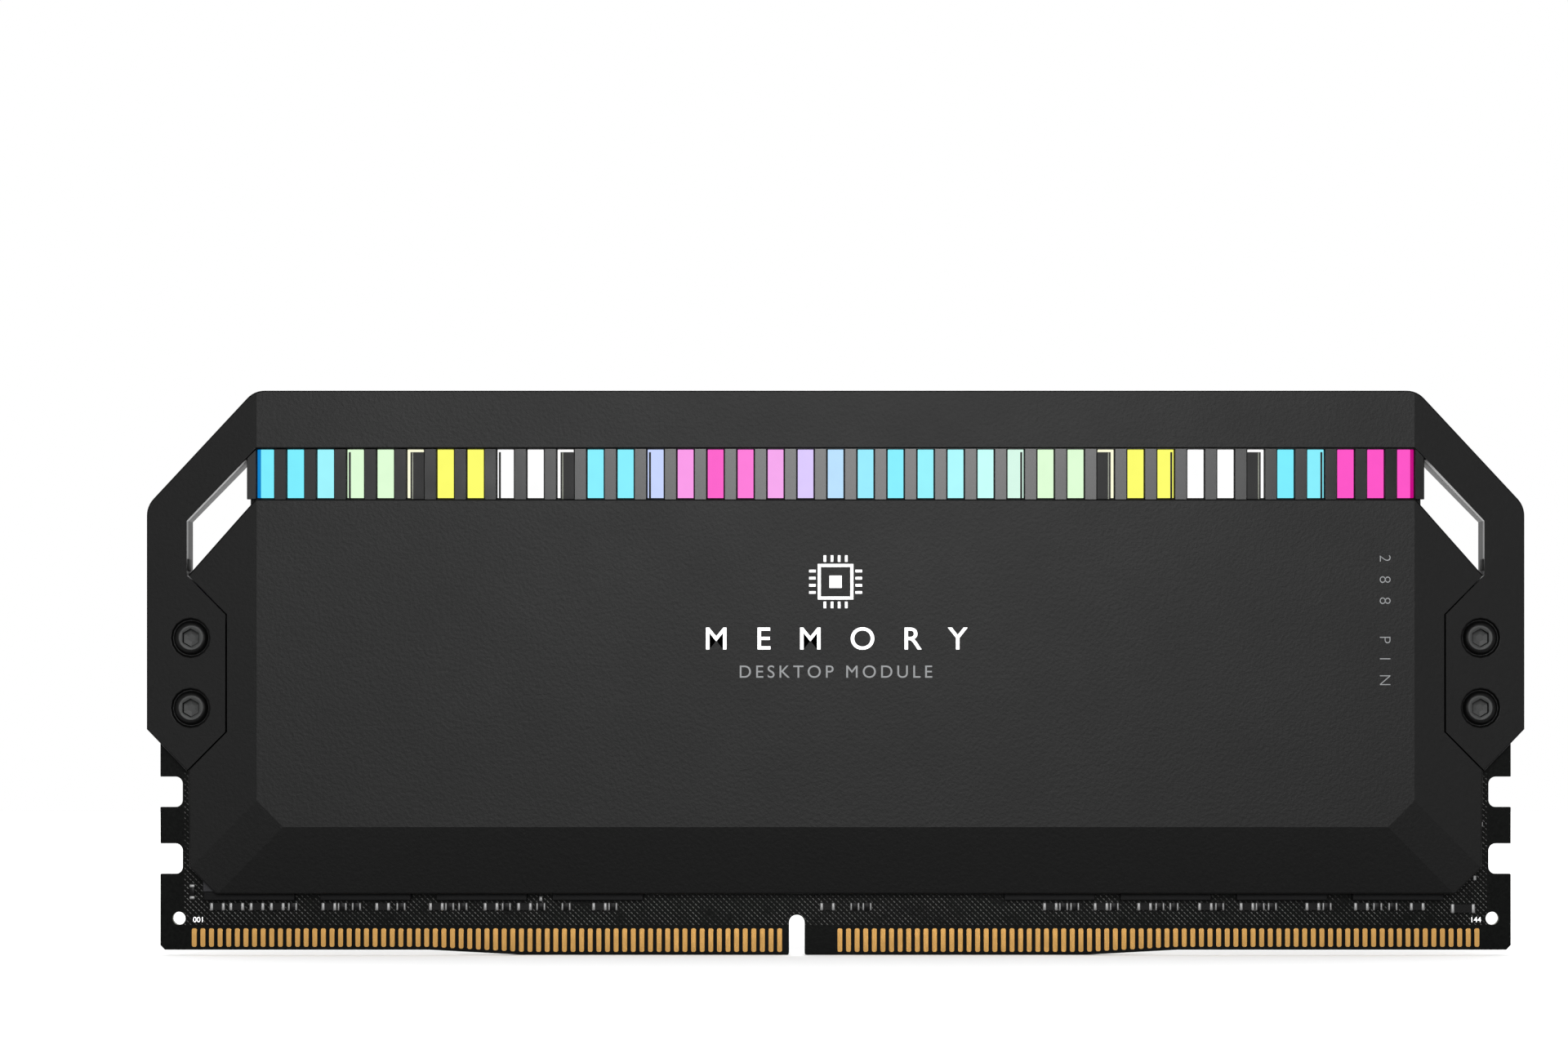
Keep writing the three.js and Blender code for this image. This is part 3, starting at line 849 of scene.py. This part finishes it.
def screw_rings():
    """Radius by angle and height of each ring, from the socket's floor to the end of the shank."""
    rings = [
        (lambda angle: SOCKET_INNER * hexagon(angle), SOCKET_FLOOR - SOCKET_DIP),
        (hexagon, SOCKET_FLOOR),
        (hexagon, SOCKET_TOP),
        (lambda angle: hexagon(angle) + SOCKET_CHAMFER, HEAD_TOP),
    ]
    for radius, height in SCREW_PROFILE:
        rings.append((lambda angle, radius=radius: radius * MM, height * MM))
    return rings


def make_screw(node, side):
    builder = bmesh.new()
    middle = centre(node)
    rings = []
    for radius_at, height in screw_rings():
        ring = []
        for step in range(SCREW_STEPS):
            angle = 2 * math.pi * step / SCREW_STEPS
            radius = radius_at(angle)
            ring.append(builder.verts.new((middle.x + radius * math.cos(angle),
                                           side * (SCREW_SEAT + height),
                                           middle.z + radius * math.sin(angle))))
        rings.append(ring)
    faces = [builder.faces.new(rings[0]), builder.faces.new(rings[-1])]
    # The middle of the socket's floor gets the painted reflection too.
    faces[0].material_index = 1
    for number, (inner, outer) in enumerate(zip(rings, rings[1:])):
        for step in range(SCREW_STEPS):
            after = (step + 1) % SCREW_STEPS
            face = builder.faces.new((inner[step], inner[after], outer[after], outer[step]))
            face.material_index = 1 if number in REFLECTING_BANDS else 0
            faces.append(face)
    bmesh.ops.recalc_face_normals(builder, faces=faces)
    piece = new_piece(node + "_fine", builder, [SCREW_BLACK, SCREW_FACE_REFLECTION])
    finish_piece(piece, "screw", node)


def make_screws():
    for face, side in FACES:
        for name, _ in SIDES:
            for level in ("lower", "upper"):
                make_screw(f"{face}_screw_{name}_{level}", side)


# ---- marks ----
INK_THICKNESS = 0.004 * MM


def add_text(name, words, size, position, material, spacing=1.0, turn=0.0, bolder=0.0):
    """Printed lettering on the front, centred on position; bolder widens its strokes."""
    curve = bpy.data.curves.new(name, "FONT")
    curve.body = words
    curve.size = size
    curve.align_x = "CENTER"
    curve.align_y = "CENTER"
    curve.space_character = spacing
    curve.extrude = INK_THICKNESS
    curve.offset = bolder
    curve.materials.append(material)
    text = bpy.data.objects.new(name, curve)
    bpy.context.scene.collection.objects.link(text)
    text.matrix_world = (Matrix.Translation(position) @ Matrix.Rotation(math.pi / 2, 4, "X")
                         @ Matrix.Rotation(turn, 4, "Z"))
    finish_piece(text, "shell")


EMBLEM_Z = 36.8 * MM
EMBLEM_HALF = 1.75 * MM              # middle to the outer edge of the square
EMBLEM_STROKE = 0.3 * MM
EMBLEM_CORE = 0.6 * MM               # half of the inner square
LEG_PLACES = (-1.05 * MM, -0.35 * MM, 0.35 * MM, 1.05 * MM)
LEG_HALF = 0.13 * MM
LEG_START = EMBLEM_HALF + 0.2 * MM
LEG_END = EMBLEM_HALF + 0.85 * MM


def add_emblem():
    """A plain chip sign: a square with short legs on its four sides."""
    builder = bmesh.new()

    def bar(x0, x1, z0, z1):
        box_mesh(builder, (x0, -SHELL_FACE - INK_THICKNESS, EMBLEM_Z + z0),
                 (x1, -SHELL_FACE + INK_THICKNESS, EMBLEM_Z + z1))

    inside = EMBLEM_HALF - EMBLEM_STROKE
    for way in (-1, 1):
        near, far = sorted((way * EMBLEM_HALF, way * inside))
        bar(near, far, -EMBLEM_HALF, EMBLEM_HALF)
        bar(-inside, inside, near, far)
        start, end = sorted((way * LEG_START, way * LEG_END))
        for spot in LEG_PLACES:
            bar(start, end, spot - LEG_HALF, spot + LEG_HALF)
            bar(spot - LEG_HALF, spot + LEG_HALF, start, end)
    bar(-EMBLEM_CORE, EMBLEM_CORE, -EMBLEM_CORE, EMBLEM_CORE)
    piece = new_piece("printed_emblem", builder, [WHITE_INK])
    finish_piece(piece, "shell")


def make_marks():
    add_emblem()
    shell, board = -SHELL_FACE, -BOARD_FACE
    add_text("printed_title", "MEMORY", 3.1 * MM, (0, shell, 31.1 * MM), WHITE_INK, spacing=2.7,
             bolder=0.015 * MM)
    add_text("printed_subtitle", "DESKTOP MODULE", 1.75 * MM, (0, shell, 27.9 * MM), GREY_INK,
             spacing=1.35)
    add_text("printed_side", "288 PIN", 1.6 * MM, (53.9 * MM, shell, 33 * MM), GREY_INK,
             spacing=2.6, turn=-math.pi / 2, bolder=-0.03 * MM)
    for name, words, x in (("left", "001", -62.9 * MM), ("right", "144", 63.2 * MM)):
        add_text(f"board_number_{name}", words, 0.75 * MM, (x, board, 3.45 * MM), WHITE_INK)


# ---- inner pieces ----
ROUND = 0.08 * MM
SLIGHTLY_ROUND = 0.02 * MM

# Material, slot and rounding of each kind of inner piece, by the beginning of its node's name.
INNER_LOOKS = {
    "memory_chip": (EPOXY, "chip", ROUND),
    "power_regulator": (EPOXY, "chip", ROUND),
    "hub_chip": (EPOXY, "chip", ROUND),
    "inductor": (FERRITE, "inductor", ROUND),
    "thermal_pad": (PAD, "thermal_pad", ROUND),
    "light_board": (MASK, "board", ROUND),
    "led_": (LENS, "led", SLIGHTLY_ROUND),
    "light_connector": (CREAM, "connector", ROUND),
    "light_ribbon": (AMBER, "ribbon", SLIGHTLY_ROUND),
}


def make_inner_pieces():
    """Chips and pads keep their CAD shape, with rounded edges."""
    for node in sorted(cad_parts):
        for beginning, (material, slot_name, width) in INNER_LOOKS.items():
            if node.startswith(beginning):
                piece = refined(node, material, width, segments=2)
                finish_piece(piece, slot_name, node)


# ---- stage ----
CENTRE_Z = 27.87 * MM                # height of the camera, at about the object's middle
CAMERA_DISTANCE = 0.603
CAMERA_SHIFT = (-0.0329, 0.0958)     # of the picture, as a part of its width
VIEW_WIDTH = 0.155                   # width of the picture at the board
SENSOR_WIDTH = 36
FLOOR_HALF = 0.62
FLOOR_GAP = 0.02 * MM                # the card edge hovers this much above the floor


def make_floor():
    ground = low("circuit_board").z - FLOOR_GAP
    ways = ((-1, -1), (1, -1), (1, 1), (-1, 1))
    corners = [(x * FLOOR_HALF, y * FLOOR_HALF, ground) for x, y in ways]
    mesh = bpy.data.meshes.new("floor")
    mesh.from_pydata(corners, [], [(0, 1, 2, 3)])
    material = new_material("pale_floor", (0.95, 0.95, 0.95), roughness=0.9, specular=0.0)
    mesh.materials.append(material)
    floor = bpy.data.objects.new("floor", mesh)
    bpy.context.scene.collection.objects.link(floor)


def add_area(name, position, target, size, brightness):
    """A rectangular lamp whose face shows as bright as brightness times the white backdrop."""
    light = bpy.data.lights.new(name, "AREA")
    light.shape = "RECTANGLE"
    light.size, light.size_y = size
    light.energy = brightness * math.pi * size[0] * size[1]
    lamp = bpy.data.objects.new(name, light)
    bpy.context.scene.collection.objects.link(lamp)
    lamp.location = position
    direction = Vector(target) - Vector(position)
    lamp.rotation_euler = direction.to_track_quat("-Z", "Y").to_euler()
    lamp.visible_camera = False


LAMP_DISTANCE = 0.66                 # the front lamps stand just behind the camera
KEY_RAISE = 0.134                    # height of the key above the camera
SIDE_X = 0.42
SIDE_RAISE = 0.05

# The parts of the low strip lamp: place along X, width and brightness.
STRIP_LAMPS = ((0.015, 0.16, 12), (0.008, 0.13, 6.5), (0.006, 0.06, 8.5), (-0.118, 0.095, 3.2))
STRIP_LAMP_HEIGHT = 0.06


def make_front_lights():
    """A soft key above the camera, a lamp on each side, and a low strip that the fins mirror."""
    y = -LAMP_DISTANCE
    middle = (0, 0, CENTRE_Z)
    add_area("key_front", (0, y, CENTRE_Z + KEY_RAISE), middle, size=(0.17, 0.12), brightness=79)
    # The height that the middle of the fins mirrors to the camera.
    strip_z = (STRIP_LOW + STRIP_HIGH) - CENTRE_Z
    for x, width, brightness in STRIP_LAMPS:
        add_area(f"strip_{width:.2f}", (x, y, strip_z), (0, 0, strip_z),
                 (width, STRIP_LAMP_HEIGHT), brightness)
    for name, side in SIDES:
        add_area(f"side_{name}", (side * SIDE_X, y, CENTRE_Z + SIDE_RAISE), middle,
                 size=(0.12, 0.2), brightness=17)


def make_rear_light():
    """A broad soft light for the rear face, high enough to stay out of the window's walls."""
    add_area("key_rear", (0, 0.5, 0.42), (0, 0, CENTRE_Z), size=(0.4, 0.25), brightness=8)


def make_lights():
    world = bpy.data.worlds.new("studio")
    bpy.context.scene.world = world
    world.use_nodes = True
    backdrop = world.node_tree.nodes["Background"]
    backdrop.inputs["Color"].default_value = (1, 1, 1, 1)
    backdrop.inputs["Strength"].default_value = 1.0
    make_front_lights()
    make_rear_light()


def make_camera():
    camera = bpy.data.cameras.new("camera")
    camera.sensor_width = SENSOR_WIDTH
    camera.lens = SENSOR_WIDTH * CAMERA_DISTANCE / VIEW_WIDTH
    camera.shift_x, camera.shift_y = CAMERA_SHIFT
    camera.clip_start = 0.01
    camera.clip_end = 10
    holder = bpy.data.objects.new("camera", camera)
    bpy.context.scene.collection.objects.link(holder)
    holder.location = (0, -CAMERA_DISTANCE, CENTRE_Z)
    holder.rotation_euler = (math.pi / 2, 0, 0)
    bpy.context.scene.camera = holder
    bpy.context.scene.view_settings.view_transform = "Standard"


make_camera()
make_lights()
make_floor()
make_shell()
make_ribs()
make_posts()
make_grilles()
make_window_corner_shades()
make_board()
make_contacts()
make_small_parts()
make_screws()
make_marks()
make_inner_pieces()
